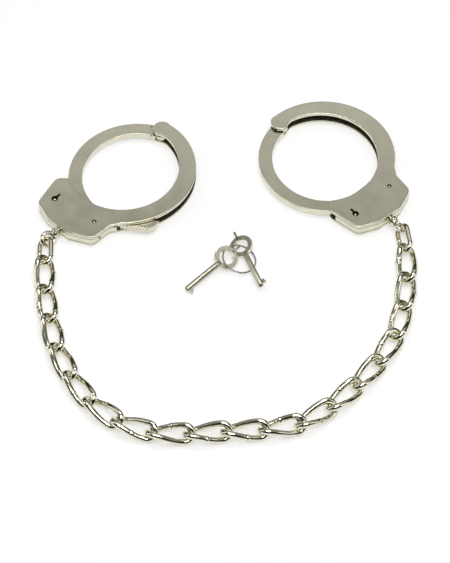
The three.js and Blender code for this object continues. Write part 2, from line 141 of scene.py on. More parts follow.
def basis(x_axis, y_hint, origin):
    """4x4 matrix with local X along x_axis and local Y as near y_hint as it can be."""
    x = unit(x_axis)
    z = unit(np.cross(x, y_hint))
    y = np.cross(z, x)
    made = np.eye(4)
    made[:3, 0], made[:3, 1], made[:3, 2], made[:3, 3] = x, y, z, origin
    return made


def moved(points, matrix):
    return points @ matrix[:3, :3].T + matrix[:3, 3]


def triangles_of(node):
    """The CAD node's vertices, in millimetres, and its triangles."""
    mesh = frame["nodes"][node].data
    mesh.calc_loop_triangles()
    co = np.array([v.co for v in mesh.vertices], float) / MM
    return co, np.array([t.vertices[:] for t in mesh.loop_triangles])


def add_piece(name, points, faces, body, materials, kinds=None, sharp=40.0):
    """A mesh from points in millimetres; kinds gives each face's material by its place in the list."""
    mesh = bpy.data.meshes.new(name)
    mesh.from_pydata((np.asarray(points) * MM).tolist(), [], faces)
    for material in materials:
        mesh.materials.append(material)
    for polygon in mesh.polygons:
        polygon.use_smooth = True
        polygon.material_index = kinds[polygon.index] if kinds else 0
    mesh.set_sharp_from_angle(angle=math.radians(sharp))
    mesh.update()
    piece = bpy.data.objects.new(name, mesh)
    bpy.context.scene.collection.objects.link(piece)
    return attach(piece, body)


def joined(*parts):
    """One list of points and faces from several."""
    points, faces = [], []
    for p, f in parts:
        start = sum(len(q) for q in points)
        points.append(np.asarray(p, float))
        faces.extend(tuple(int(i) + start for i in face) for face in f)
    return np.vstack(points), faces


# ---- outlines taken from the CAD plates ----------------------------------------------------------------
def flat_loops(node, z):
    """Outline loops of the node's upward faces at height z, material on the left, longest first."""
    co, triangles = triangles_of(node)
    places, spot = {}, []
    for p in co:
        spot.append(places.setdefault((round(p[0], 3), round(p[1], 3), round(p[2], 3)), len(places)))
    plan = {i: key for key, i in places.items()}
    edges = set()
    for a, b, c in triangles:
        if abs(co[[a, b, c], 2] - z).max() > 0.01 or np.cross(co[b] - co[a], co[c] - co[a])[2] <= 0:
            continue
        for u, v in ((a, b), (b, c), (c, a)):
            edges.add((spot[u], spot[v]))
    follow = {u: v for u, v in edges if (v, u) not in edges}
    loops = []
    while follow:
        at = next(iter(sorted(follow)))
        loop = []
        while at in follow:
            loop.append(plan[at][:2])
            at = follow.pop(at)
        loops.append(np.array(loop))
    return sorted(loops, key=lambda q: -np.linalg.norm(np.roll(q, -1, 0) - q, axis=1).sum())


def tangents(loop):
    """At each outline point the direction it is left in and the one it is reached in."""
    step = np.roll(loop, -1, 0) - loop
    length = np.linalg.norm(step, axis=1)
    ahead = step / length[:, None]
    behind, short = np.roll(ahead, 1, 0), np.roll(length, 1)
    turn = np.degrees(np.arccos(np.clip((ahead * behind).sum(1), -1, 1)))
    blend = ahead * short[:, None] + behind * length[:, None]
    blend /= np.linalg.norm(blend, axis=1)[:, None]
    straight_out = length > 2.5 * short
    straight_in = short > 2.5 * length
    out, into = blend.copy(), blend.copy()
    for i in range(len(loop)):
        if turn[i] > CORNER:
            out[i], into[i] = ahead[i], behind[i]
        elif straight_out[i]:
            out[i] = into[i] = ahead[i]
        elif straight_in[i]:
            out[i] = into[i] = behind[i]
    return out, into, length


def refined(loop, step=0.8):
    """The same outline with its round stretches filled in along smooth curves."""
    out, into, length = tangents(loop)
    made = []
    for i, p in enumerate(loop):
        j = (i + 1) % len(loop)
        q = loop[j]
        bend = np.degrees(np.arccos(np.clip(out[i] @ into[j], -1, 1)))
        count = max(1, math.ceil(length[i] / step)) if bend > 0.5 else 1
        for k in range(count):
            t = k / count
            h00, h10 = (1 + 2 * t) * (1 - t) ** 2, t * (1 - t) ** 2
            h01, h11 = t * t * (3 - 2 * t), t * t * (t - 1)
            made.append(h00 * p + h10 * length[i] * out[i] + h01 * q + h11 * length[i] * into[j])
    return np.array(made)


def inset(loop, depth):
    """The outline moved towards its material, mitred at the corners."""
    ahead = np.roll(loop, -1, 0) - loop
    ahead /= np.linalg.norm(ahead, axis=1)[:, None]
    left = np.stack([-ahead[:, 1], ahead[:, 0]], 1)
    both = left + np.roll(left, 1, 0)
    both /= np.maximum(0.5, (both**2).sum(1))[:, None]
    return loop + 2 * depth * both


def enclosed(p, loops):
    """True where a point has material round it: its ray to the right crosses an odd number of edges."""
    crossed = 0
    for loop in loops:
        q = np.roll(loop, -1, 0)
        spans = (loop[:, 1] > p[1]) != (q[:, 1] > p[1])
        rise = np.where(spans, q[:, 1] - loop[:, 1], 1.0)
        at = loop[:, 0] + (p[1] - loop[:, 1]) / rise * (q[:, 0] - loop[:, 0])
        crossed += int((spans & (at > p[0])).sum())
    return crossed % 2 == 1


def fill(loops):
    """Triangles across the area between the loops.

    They index the loops' points in order, then the extra points made where a tight outline crosses itself.
    """
    points, edges = [], []
    for loop in loops:
        start, n = len(points), len(loop)
        points.extend(Vector(p) for p in loop)
        edges.extend((start + i, start + (i + 1) % n) for i in range(n))
    found = geometry.delaunay_2d_cdt(points, edges, [], 1, 1e-6)
    extra, index = [], []
    for p, origin in zip(found[0], found[3]):
        if not origin:
            extra.append(tuple(p))
        index.append(origin[0] if origin else len(points) + len(extra) - 1)
    faces = []
    for face in found[2]:
        middle = sum((found[0][i] for i in face), Vector((0, 0))) / 3
        if enclosed(middle, loops):
            faces.append(tuple(index[i] for i in face))
    return faces, extra


def edge_profile(z0, z1, low, high, steps=4):
    """(inset, height) pairs up a wall, from the lower face round both rounded edges to the upper face."""
    turns = [math.radians(90 * i / steps) for i in range(steps + 1)]
    up = [(low + GUARD, z0)] + [(low * (1 - math.sin(a)), z0 + low * (1 - math.cos(a))) for a in turns]
    down = [(high * (1 - math.cos(a)), z1 - high * (1 - math.sin(a))) for a in turns]
    return [(depth + SKIN, z) for depth, z in up + down + [(high + GUARD, z1)]]


def plate(loops, z0, z1, edges, hidden=(False, False), dark=()):
    """Closed plate with rounded edges, (lower, upper) radii for each loop.

    A hidden face and the edges round it get painted shade, and so do the walls of the loops numbered in dark.
    Returns points, faces and the kind of each face.
    """
    points, faces, kinds, first, last = [], [], [], [], []
    for number, loop in enumerate(loops):
        profile = edge_profile(z0, z1, *edges[number])
        n, base, rows = len(loop), len(points), len(profile) - 1
        for depth, z in profile:
            points.extend((x, y, z) for x, y in inset(loop, depth))
        for k in range(rows):
            in_seam = (k <= rows // 2 - 1 and hidden[0]) or (k > rows // 2 and hidden[1])
            for i in range(n):
                a, b = base + k * n + i, base + k * n + (i + 1) % n
                faces.append((a, b, b + n, a + n))
            on_top = k == rows - 1 or k == 0
            kind = DARK if in_seam or number in dark else FLAT if on_top else EDGE
            kinds.extend([kind] * n)
        first.append((inset(loop, profile[0][0]), base))
        last.append((inset(loop, profile[-1][0]), base + rows * n))
    for ends, z, upward in ((first, z0, False), (last, z1, True)):
        index = [base + i for ring, base in ends for i in range(len(ring))]
        triangles, extra = fill([ring for ring, _ in ends])
        index.extend(range(len(points), len(points) + len(extra)))
        points.extend((x, y, z) for x, y in extra)
        for face in triangles:
            corner = [index[i] for i in face]
            a, b, c = (np.array(points[i][:2]) for i in corner[:3])
            rising = (b[0] - a[0]) * (c[1] - a[1]) - (b[1] - a[1]) * (c[0] - a[0]) > 0
            faces.append(tuple(corner if rising == upward else corner[::-1]))
        kinds.extend([DARK if hidden[int(upward)] else FLAT] * len(triangles))
    return np.array(points), faces, kinds


def circle(r, centre=(0, 0), sides=64, hole=False):
    turn = np.linspace(0, 2 * np.pi, sides, endpoint=False) * (-1 if hole else 1)
    return np.stack([centre[0] + r * np.cos(turn), centre[1] + r * np.sin(turn)], 1)


# ---- round solids ------------------------------------------------------------------------------------
def lathe(profile, matrix, sides=48):
    """Solid turned about local X from (x, radius) pairs that start and end on the axis."""
    ring = [(x, r) for x, r in profile if r > 1e-6]
    turn = np.linspace(0, 2 * np.pi, sides, endpoint=False)
    points = [(profile[0][0], 0, 0), (profile[-1][0], 0, 0)]
    for x, r in ring:
        points.extend((x, r * math.cos(a), r * math.sin(a)) for a in turn)
    faces = []
    for k in range(len(ring) - 1):
        for i in range(sides):
            a, b = 2 + k * sides + i, 2 + k * sides + (i + 1) % sides
            faces.append((a, b, b + sides, a + sides))
    last = 2 + (len(ring) - 1) * sides
    for i in range(sides):
        j = (i + 1) % sides
        faces.append((0, 2 + j, 2 + i))
        faces.append((1, last + i, last + j))
    return moved(np.array(points, float), matrix), faces


def sweep(path, normals, section, matrix):
    """Closed tube: section(i) gives the ring of (normal, side) offsets at path point i."""
    n = len(path)
    ahead = np.roll(path, -1, 0) - np.roll(path, 1, 0)
    points = []
    for i in range(n):
        t = unit(ahead[i])
        u = unit(normals[i] - t * (normals[i] @ t))
        v = np.cross(t, u)
        ring = section(i)
        points.append(path[i] + ring[:, :1] * u + ring[:, 1:] * v)
    sides = len(points[0])
    faces = []
    for i in range(n):
        a, b = i * sides, ((i + 1) % n) * sides
        for k in range(sides):
            m = (k + 1) % sides
            faces.append((a + k, a + m, b + m, b + k))
    return moved(np.vstack(points), matrix), faces


# ---- materials ---------------------------------------------------------------------------------------
def node(tree, kind, inputs=None, **settings):
    """Adds a shader node; an input that is a socket is linked, any other value is set."""
    made = tree.nodes.new("ShaderNode" + kind)
    for key, value in settings.items():
        setattr(made, key, value)
    for key, value in (inputs or {}).items():
        if isinstance(value, bpy.types.NodeSocket):
            tree.links.new(value, made.inputs[key])
        else:
            made.inputs[key].default_value = value
    return made


def stretched_noise(tree, scale, angle=0.0, detail=4.0):
    """Noise whose grain is set by the scale along each axis, in cells a metre."""
    place = node(tree, "TexCoord").outputs["Object"]
    turn = node(tree, "Mapping", {"Vector": place, "Rotation": (0, 0, math.radians(angle))})
    fit = node(tree, "Mapping", {"Vector": turn.outputs[0], "Scale": scale})
    return node(tree, "TexNoise", {"Vector": fit.outputs[0], "Scale": 1.0, "Detail": detail}).outputs[0]


def spread(tree, value, low, high, start=0.3, end=0.7):
    inputs = {"Value": value, "From Min": start, "From Max": end, "To Min": low, "To Max": high}
    return node(tree, "MapRange", inputs).outputs[0]


def summed(tree, first, second):
    return node(tree, "Math", {0: first, 1: second}).outputs[0]


def tint(tree, shader, value, dark, light):
    """Base colour that runs from dark to light as the value rises."""
    made = node(tree, "ValToRGB", {"Fac": value})
    ramp = made.color_ramp.elements
    ramp[0].position, ramp[1].position = 0.3, 0.7
    ramp[0].color, ramp[1].color = (*dark, 1), (*light, 1)
    tree.links.new(made.outputs[0], shader.inputs["Base Color"])


def new_material(name):
    material = bpy.data.materials.new(name)
    material.use_nodes = True
    tree = material.node_tree
    shader = tree.nodes["Principled BSDF"]
    shader.inputs["Metallic"].default_value = 1.0
    return material, tree, shader


def bumped(tree, shader, layers):
    """Adds bump layers of (height, strength, distance), the first one nearest the surface."""
    normal = None
    for height, strength, distance in layers:
        inputs = {"Height": height, "Strength": strength, "Distance": distance}
        if normal is not None:
            inputs["Normal"] = normal
        normal = node(tree, "Bump", inputs).outputs[0]
    tree.links.new(normal, shader.inputs["Normal"])


def satin_nickel(name, grain, dark=(0.53, 0.51, 0.40), light=(0.62, 0.595, 0.47), rough=0.21):
    """Flat faces: fine one-way brushing, cloudy plating, a few stray scratches."""
    material, tree, shader = new_material(name)
    brush = stretched_noise(tree, (60, 2600, 60), grain, 5)
    cloud = stretched_noise(tree, (70, 70, 70), 0, 5)
    scratch = stretched_noise(tree, (45, 3200, 45), grain + 63, 2)
    tint(tree, shader, cloud, dark, light)
    gloss = summed(tree, spread(tree, brush, rough, rough + 0.012), spread(tree, cloud, 0.0, 0.03))
    tree.links.new(gloss, shader.inputs["Roughness"])
    fine = spread(tree, scratch, 0.0, 1.0, 0.70, 0.74)
    bumped(tree, shader, [(brush, 0.05, 2e-5), (cloud, 0.1, 8e-5), (fine, 0.02, 2e-5)])
    return material


def sheared_nickel(name):
    """Punched edges under the plating: fine lines along the wall and a bright, slightly uneven gloss."""
    material, tree, shader = new_material(name)
    lines = stretched_noise(tree, (90, 90, 3000), 0, 4)
    cloud = stretched_noise(tree, (130, 130, 200), 0, 3)
    tint(tree, shader, cloud, (0.66, 0.64, 0.51), (0.76, 0.735, 0.59))
    rough = summed(tree, spread(tree, lines, 0.14, 0.24), spread(tree, cloud, 0.0, 0.05))
    tree.links.new(rough, shader.inputs["Roughness"])
    bumped(tree, shader, [(cloud, 0.25, 8e-5), (lines, 0.25, 3e-5)])
    return material


def polished_nickel(name, wave=0.35):
    """Tumbled and plated wire: mirror-like with soft waves, hairlines and faint clouding."""
    material, tree, shader = new_material(name)
    swell = stretched_noise(tree, (210, 210, 210), 0, 2)
    hair = stretched_noise(tree, (300, 2400, 900), 20, 3)
    cloud = stretched_noise(tree, (90, 90, 90), 0, 4)
    tint(tree, shader, cloud, (0.69, 0.665, 0.535), (0.78, 0.755, 0.615))
    rough = summed(tree, spread(tree, cloud, 0.07, 0.13), spread(tree, hair, 0.0, 0.05))
    tree.links.new(rough, shader.inputs["Roughness"])
    bumped(tree, shader, [(swell, wave, 3e-4), (hair, 0.08, 2e-5)])
    return material


def spring_steel(name):
    """Bare drawn steel: darker, with fine die lines and small rust-brown specks."""
    material, tree, shader = new_material(name)
    drawn = stretched_noise(tree, (800, 800, 2600), 0, 3)
    speck = stretched_noise(tree, (700, 700, 700), 0, 5)
    tint(tree, shader, speck, (0.30, 0.27, 0.22), (0.52, 0.50, 0.45))
    tree.links.new(spread(tree, drawn, 0.2, 0.34), shader.inputs["Roughness"])
    bumped(tree, shader, [(drawn, 0.2, 2e-5)])
    return material


def painted_shade_steel(name):
    """Painted shade: near-black, soot-brown rough steel for hidden faces, seams, holes and bores, where shade
    falls.
    """
    material, tree, shader = new_material(name)
    shade_mottle = stretched_noise(tree, (500, 500, 500), 0, 4)
    tint(tree, shader, shade_mottle, (0.10, 0.085, 0.06), (0.22, 0.19, 0.14))
    tree.links.new(spread(tree, shade_mottle, 0.45, 0.65), shader.inputs["Roughness"])
    bumped(tree, shader, [(shade_mottle, 0.2, 5e-5)])
    return material


def table_top(name):
    """Matt white top with faint clouds, a little self-lit so that it stays pale."""
    material, tree, shader = new_material(name)
    shader.inputs["Metallic"].default_value = 0.0
    shader.inputs["Roughness"].default_value = 0.9
    shader.inputs["Specular IOR Level"].default_value = 0.1
    cloud = stretched_noise(tree, (6, 6, 6), 0, 2)
    tint(tree, shader, cloud, (0.62, 0.62, 0.62), (0.66, 0.66, 0.66))
    shader.inputs["Emission Color"].default_value = (1, 1, 1, 1)
    shader.inputs["Emission Strength"].default_value = 0.5
    return material


FACE = {
    "left": satin_nickel("satin_nickel_left", 0.0),
    "right": satin_nickel("satin_nickel_right", 81.2),
}
WALL = sheared_nickel("sheared_nickel_edge")
WIRE = polished_nickel("polished_nickel_wire")
TURNED = polished_nickel("polished_nickel_turned", 0.08)
KEY_FACE = satin_nickel("satin_nickel_key", 40.0, (0.36, 0.345, 0.265), (0.44, 0.425, 0.33), 0.42)
KEY_BARREL = satin_nickel("satin_nickel_barrel", 0.0, (0.46, 0.44, 0.34), (0.56, 0.54, 0.42), 0.26)
SPRING = spring_steel("spring_steel")
# Painted shade, used for the case's seams, hole walls and bores and for the keys' bores.
PAINTED_SHADE = painted_shade_steel("painted_shade_inside")


# ---- cuffs ---------------------------------------------------------------------------------------------
def heights(node_name):
    low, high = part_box(node_name)
    return low.z / MM, high.z / MM


def centre_of(node_name):
    low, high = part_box(node_name)
    return np.array(((low + high) / 2)[:2]) / MM


def build_plate(node_name, body, side, low, high, hidden, shade_painted_holes):
    """A cheek or the case's middle plate, from the CAD plate's own outline."""
    z0, z1 = heights(node_name)
    loops = [refined(loop) for loop in flat_loops(node_name, z1)]
    rivets = [centre_of(f"{side}_{pin}") for pin in ("jaw_rivet", "case_rivet_1", "case_rivet_2")]
    edges, dark = [(low, high)], []
    # Rivet holes stay plated; the walls of the other holes get painted shade.
    for number, loop in enumerate(loops[1:], 1):
        middle = (loop.max(0) + loop.min(0)) / 2
        if min(np.linalg.norm(middle - rivet) for rivet in rivets) < 0.5:
            edges.append((RIVET_EDGE, RIVET_EDGE))
        else:
            edges.append((SEAM_EDGE, SEAM_EDGE / 2))
            dark.append(number)
    points, faces, kinds = plate(loops, z0, z1, edges, hidden, dark if shade_painted_holes else ())
    materials = (FACE[side], WALL, PAINTED_SHADE)
    made = add_piece(node_name + "_plate", points, faces, body, materials, kinds)
    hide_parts(node_name)
    return made


def cut_away(piece, points, faces):
    """Takes a closed shape, in millimetres, out of a piece; the cut walls take the cutter's painted shade."""
    mesh = bpy.data.meshes.new("cutter")
    mesh.from_pydata((points * MM).tolist(), [], faces)
    mesh.materials.append(PAINTED_SHADE)
    cutter = bpy.data.objects.new("cutter", mesh)
    bpy.context.scene.collection.objects.link(cutter)
    cut = piece.modifiers.new("cut", "BOOLEAN")
    cut.object = cutter
    cut.solver = "EXACT"
    cut.material_mode = "TRANSFER"
    bpy.context.view_layer.update()
    done = bpy.data.meshes.new_from_object(piece.evaluated_get(bpy.context.evaluated_depsgraph_get()))
    piece.modifiers.remove(cut)
    piece.data = done
    bpy.data.objects.remove(cutter)


def build_jaw(side):
    """Thick toothed blade, and a thinner tongue between the cheeks' ears."""
    name, body = f"{side}_jaw", f"{side}_jaw"
    z0, z1 = heights(name)
    pivot = np.array(JOINTS[f"{side}_jaw_hinge"]["pos_m"][:2]) / MM
    levels = sorted({round(float(z), 2) for z in triangles_of(name)[0][:, 2]})
    tongue_low, tongue_high = levels[1], levels[-2]
    blade, *hub = flat_loops(name, z1)
    tongue = flat_loops(name, tongue_high)[0]
    reach = np.linalg.norm(tongue - pivot, axis=1)
    rim = np.abs(reach - reach.max()) < RIM_REACH
    tongue[rim] = pivot + (tongue[rim] - pivot) * (1 + TONGUE_OVERLAP / reach[rim])[:, None]
    hole = min(hub, key=lambda q: np.ptp(q[:, 0]))
    parts = [
        plate([refined(blade)], z0, z1, [(JAW_EDGE, JAW_EDGE)]),
        plate([refined(tongue), refined(hole)], tongue_low, tongue_high, [(THIN_EDGE, THIN_EDGE)] * 2),
        plate([refined(q) for q in hub], z0, z1, [(THIN_EDGE, THIN_EDGE)] * 2),
    ]
    points, faces = joined(*[(p, f) for p, f, _ in parts])
    kinds = [kind for _, _, k in parts for kind in k]
    materials = (FACE[side], WALL, PAINTED_SHADE)
    made = add_piece(name + "_blade", points, faces, body, materials, kinds)
    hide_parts(name)


def upright_pin(node_name, body, material, ends):
    """Rivet or pin through the case; ends is the (depth, radius share) profile of each of its ends."""
    low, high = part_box(node_name)
    r = (high.x - low.x) / 2 / MM
    half = (high.z - low.z) / 2 / MM
    profile = [(-half + depth, r * share) for depth, share in ends]
    profile += [(-x, q) for x, q in reversed(profile)]
    points, faces = lathe(profile, basis((0, 0, 1), (1, 0, 0), np.array((low + high) / 2) / MM))
    made = add_piece(node_name + "_turned", points, faces, body, (material,))
    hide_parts(node_name)


def lock_pin(side):
    """Direction the double-lock pin is pushed in, its middle, half its length and its radius."""
    axis = unit(JOINTS[f"{side}_double_lock"]["axis"])
    co, _ = triangles_of(f"{side}_double_lock_pin")
    centre = (co.max(0) + co.min(0)) / 2
    along = (co - centre) @ axis
    r = np.linalg.norm(co - centre - along[:, None] * axis, axis=1).max()
    return axis, centre, along.max(), r


def build_case(side):
    """Two cheeks, the middle plate with the double-lock pin's bore, and every rivet and pin through them."""
    body = f"{side}_case"
    # Faces hidden between the plates, and the edges round the seams, get painted shade.
    build_plate(f"{side}_bottom_cheek", body, side, CHEEK_EDGE, SEAM_EDGE, (False, True), True)
    build_plate(f"{side}_top_cheek", body, side, SEAM_EDGE, CHEEK_EDGE, (True, False), True)
    middle = build_plate(f"{side}_case_frame", body, side, SEAM_EDGE, SEAM_EDGE, (True, True), True)
    axis, centre, half, r = lock_pin(side)
    bore = r + BORE_PLAY
    profile = [(-half - 1, 0), (-half - 1, bore), (half, bore), (half, 0)]
    cut_away(middle, *lathe(profile, basis(axis, (0, 0, 1), centre - 2 * axis), 32))
    for rivet in ("jaw_rivet", "case_rivet_1", "case_rivet_2"):
        upright_pin(f"{side}_{rivet}", body, FACE[side], FLUSH_END)
    upright_pin(f"{side}_pawl_pin", body, TURNED, PIN_END)
    upright_pin(f"{side}_keyhole_post", body, TURNED, POST_END)
    spring = frame["nodes"][f"{side}_pawl_spring"].data
    spring.materials.clear()
    spring.materials.append(SPRING)


def build_lock_work(side):
    """Pawl and double-lock pin."""
    z0, z1 = heights(f"{side}_pawl")
    loops = [refined(loop, 0.4) for loop in flat_loops(f"{side}_pawl", z1)]
    points, faces, kinds = plate(loops, z0, z1, [(PAWL_EDGE, PAWL_EDGE)] * len(loops))
    materials = (WALL, WALL, PAINTED_SHADE)
    made = add_piece(f"{side}_pawl_plate", points, faces, f"{side}_pawl", materials, kinds)
    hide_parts(f"{side}_pawl")
    axis, centre, half, r = lock_pin(side)
    mouth = PLUG_STEP - half
    profile = [
        (mouth, 0), (mouth, r - 0.35), (mouth + 0.35, r),
        (half - 0.5, r), (half, r - 0.5), (half, 0),
    ]
    points, faces = lathe(profile, basis(axis, (0, 0, 1), centre), 32)
    body = f"{side}_double_lock_pin"
    made = add_piece(body + "_turned", points, faces, body, (TURNED,))
    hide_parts(body)


# ---- swivels -------------------------------------------------------------------------------------------
def eye_blank(matrix):
    """Eye ring and shoulder as overlapping solids, melted into one forging by a voxel remesh."""
    turn = np.linspace(0, 2 * np.pi, EYE_STEPS, endpoint=False)
    path = np.stack([EYE_OUT + EYE_R * np.cos(turn), EYE_R * np.sin(turn), 0 * turn], 1)
    up = np.tile((0.0, 0.0, 1.0), (EYE_STEPS, 1))
    ring = circle(EYE_WIRE_R, sides=24)
    eye = sweep(path, up, lambda i: ring * (1.0 + 0.10 * max(0, -math.cos(turn[i]))), matrix)
    return joined(eye, lathe(SHOULDER_PROFILE, matrix))


def melted(name, points, faces, voxel, rounds):
    """Points and faces of overlapping solids remeshed as one, then smoothed."""
    mesh = bpy.data.meshes.new(name + "_blank")
    mesh.from_pydata((points * MM).tolist(), [], faces)
    blank = bpy.data.objects.new(name + "_blank", mesh)
    bpy.context.scene.collection.objects.link(blank)
    remesh = blank.modifiers.new("melt", "REMESH")
    remesh.mode = "VOXEL"
    remesh.voxel_size = voxel * MM
    smooth = blank.modifiers.new("soften", "SMOOTH")
    smooth.iterations = rounds
    smooth.factor = 0.5
    bpy.context.view_layer.update()
    done = bpy.data.meshes.new_from_object(blank.evaluated_get(bpy.context.evaluated_depsgraph_get()))
    co = np.array([v.co for v in done.vertices]) / MM
    polygons = [tuple(p.vertices) for p in done.polygons]
    bpy.data.objects.remove(blank)
    bpy.data.meshes.remove(done)
    return co, polygons


def build_swivel(side):
    """Turned stud with its collar, and the forged eye that the end link hangs in."""
    stud, eye = JOINTS[f"{side}_swivel_turn"], JOINTS[f"{side}_eye"]
    axis = unit(stud["axis"])
    origin = np.array(stud["pos_m"]) / MM
    spoke = np.array(eye["pos_m"]) / MM - (origin + EYE_OUT * axis)
    normal = np.cross(spoke, eye["axis"])
    matrix = basis(axis, np.cross(normal, axis), origin)
    body = f"{side}_swivel"
    points, faces = lathe(STUD_PROFILE, matrix, 64)
    made = add_piece(body + "_stud", points, faces, body, (TURNED,), sharp=30)
    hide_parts(body)
    points, faces = melted(body, *eye_blank(matrix), EYE_VOXEL, EYE_ROUNDS)
    add_piece(body + "_forged_eye", points, faces, body, (WIRE,), sharp=80)


# ---- chain ---------------------------------------------------------------------------------------------
def link_centreline(span, half, twist, count):
    """Points and plane normals round a link that lies along X, its ends turned opposite ways."""
    leg, bend = span - 2 * half, math.pi * half
    points, normals, where = [], [], []
    for i in range(count):
        s = i / count * 2 * (leg + bend)
        far = s >= leg + bend
        d = s - (leg + bend) if far else s
        a = max(0.0, d - leg) / half
        x = -leg / 2 + d if d < leg else leg / 2 + half * math.sin(a)
        v = -half if d < leg else -half * math.cos(a)
        if far:
            x, v = -x, -v
        phi = math.radians(twist) * math.sin(math.pi * x / span)
        points.append((x, v * math.cos(phi), v * math.sin(phi)))
        normals.append((0, -math.sin(phi), math.cos(phi)))
        where.append((x, far))
    return np.array(points), np.array(normals), where


def link_frame(name, towards):
    """Where a link lies: X along it, Z out of its middle plane and upwards."""
    co, triangles = triangles_of(name)
    corner = co[triangles]
    area = np.linalg.norm(np.cross(corner[:, 1] - corner[:, 0], corner[:, 2] - corner[:, 0]), axis=1)
    place = corner.mean(1)
    centre = (place * area[:, None]).sum(0) / area.sum()
    off = place - centre
    _, axes = np.linalg.eigh((off * area[:, None]).T @ off)
    x, y = axes[:, 2], axes[:, 1]
    if x @ (towards - centre) < 0:
        x = -x
    if np.cross(x, y)[2] < 0:
        y = -y
    return basis(x, y, centre)


def middle_of(name):
    low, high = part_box(name)
    return np.array((low + high) / 2) / MM


def build_link(number):
    """Bent wire link with a weld bead on one leg."""
    name = f"link_{number:02d}"
    size = END_LINK if number in (1, 20) else LINK
    neighbour = f"link_{number + 1:02d}" if number < 20 else f"link_{number - 1:02d}"
    matrix = link_frame(name, middle_of(neighbour))
    path, normals, where = link_centreline(size["span"], size["half"], size["twist"], LINK_STEPS)
    weld_far = number in WELD_INSIDE
    weld_at = 1.2 * math.sin(number * 2.4)
    ring = circle(1.0, sides=20)

    def section(i):
        x, far = where[i]
        swell = 1.0
        if far == weld_far and abs(x) < size["span"] / 4:
            off = (x - weld_at) / WELD_WIDTH
            grooves = math.exp(-(((abs(off) - 2.0) * 2.2) ** 2))
            swell += WELD_RISE / size["wire"] * (math.exp(-off * off) - 0.7 * grooves)
        along = path[i][0] * 0.5 + number * 7
        uneven = [1 + 0.008 * noise.noise(Vector((along, 2 * u, 2 * v))) for u, v in ring]
        return ring * size["wire"] * swell * np.array(uneven)[:, None]

    points, faces = sweep(path, normals, section, matrix)
    made = add_piece(name + "_wire", points, faces, name, (WIRE,), sharp=80)
    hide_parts(name)


# ---- keys ----------------------------------------------------------------------------------------------
def key_frame(name):
    """X along the shank from the middle of the bow, Y towards the bit, Z out of the bow's flat face."""
    co, triangles = triangles_of(name)
    corner = co[triangles]
    normal = np.cross(corner[:, 1] - corner[:, 0], corner[:, 2] - corner[:, 0])
    weight = np.maximum(np.linalg.norm(normal, axis=1), 1e-9)
    _, axes = np.linalg.eigh((normal / weight[:, None]).T @ normal)
    x, y = axes[:, 0], axes[:, 1]
    off = co - co.mean(0)
    if abs((off @ x).min()) > (off @ x).max():
        x = -x
    tip = co[(co @ x) > (co @ x).max() - 0.05]
    centre = tip.mean(0)
    near_tip = co[(co @ x) > (co @ x).max() - 4] - centre
    if abs((near_tip @ y).min()) > (near_tip @ y).max():
        y = -y
    return basis(x, y, centre - SHANK_END * x)


def key_bow(matrix):
    loops = [circle(BOW_R, sides=96), circle(BOW_HOLE_R, sides=72, hole=True)]
    loops.append(circle(0.75, (PEG_HOLE_AT, 0), 32, hole=True))
    edges = [(KEY_EDGE, KEY_EDGE), (KEY_EDGE, KEY_EDGE), (0.1, 0.1)]
    # The small peg hole's wall is painted shade.
    points, faces, kinds = plate(loops, -BOW_T / 2, BOW_T / 2, edges, dark=(2,))
    return moved(points, matrix), faces, kinds


def key_bit(matrix):
    points, faces, kinds = plate([np.array(BIT_OUTLINE)], -1.1, 1.1, [(BIT_EDGE, BIT_EDGE)])
    return moved(points, matrix), faces, kinds


def build_key(name):
    """Ring bow, hollow barrel, double-lock peg, bit and the peg's eyelet, all on one body; the peg hole and
    the bores carry painted shade.
    """
    matrix = key_frame(name)
    bow, bit = key_bow(matrix), key_bit(matrix)
    made = add_piece(name + "_bow", bow[0], bow[1], name, (KEY_FACE, WALL, PAINTED_SHADE), bow[2])
    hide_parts(name)
    points, faces = lathe(BARREL_PROFILE, matrix, 40)
    # Past BORE_FROM the barrel's hollow tip is painted shade.
    kinds = [int(i // 40 >= BORE_FROM) for i in range(len(faces))]
    add_piece(name + "_barrel", points, faces, name, (KEY_BARREL, PAINTED_SHADE), kinds, 35)
    points, faces = lathe(PEG_PROFILE, matrix, 28)
    add_piece(name + "_peg", points, faces, name, (KEY_BARREL,), sharp=35)
    add_piece(name + "_bit", bit[0], bit[1], name, (KEY_FACE, WALL, PAINTED_SHADE), bit[2])
    eyelet = matrix @ basis((0, 0, 1), (1, 0, 0), (PEG_HOLE_AT, 0, 0))
    points, faces = lathe(EYELET_PROFILE, eyelet, 32)
    # Past EYELET_BORE_FROM the eyelet's bore is painted shade.
    kinds = [int(i // 32 >= EYELET_BORE_FROM) for i in range(len(faces))]
    add_piece(name + "_eyelet", points, faces, name, (KEY_BARREL, PAINTED_SHADE), kinds, 35)


def flattened(tall, across, sides):
    """Ring of points round a wire's section that is squarer than an ellipse."""
    turn = [2 * math.pi * t / sides for t in range(sides)]
    square = [[math.copysign(abs(w) ** 0.5, w) for w in (math.cos(a), math.sin(a))] for a in turn]
    return np.array([(tall * u, across * v) for u, v in square])


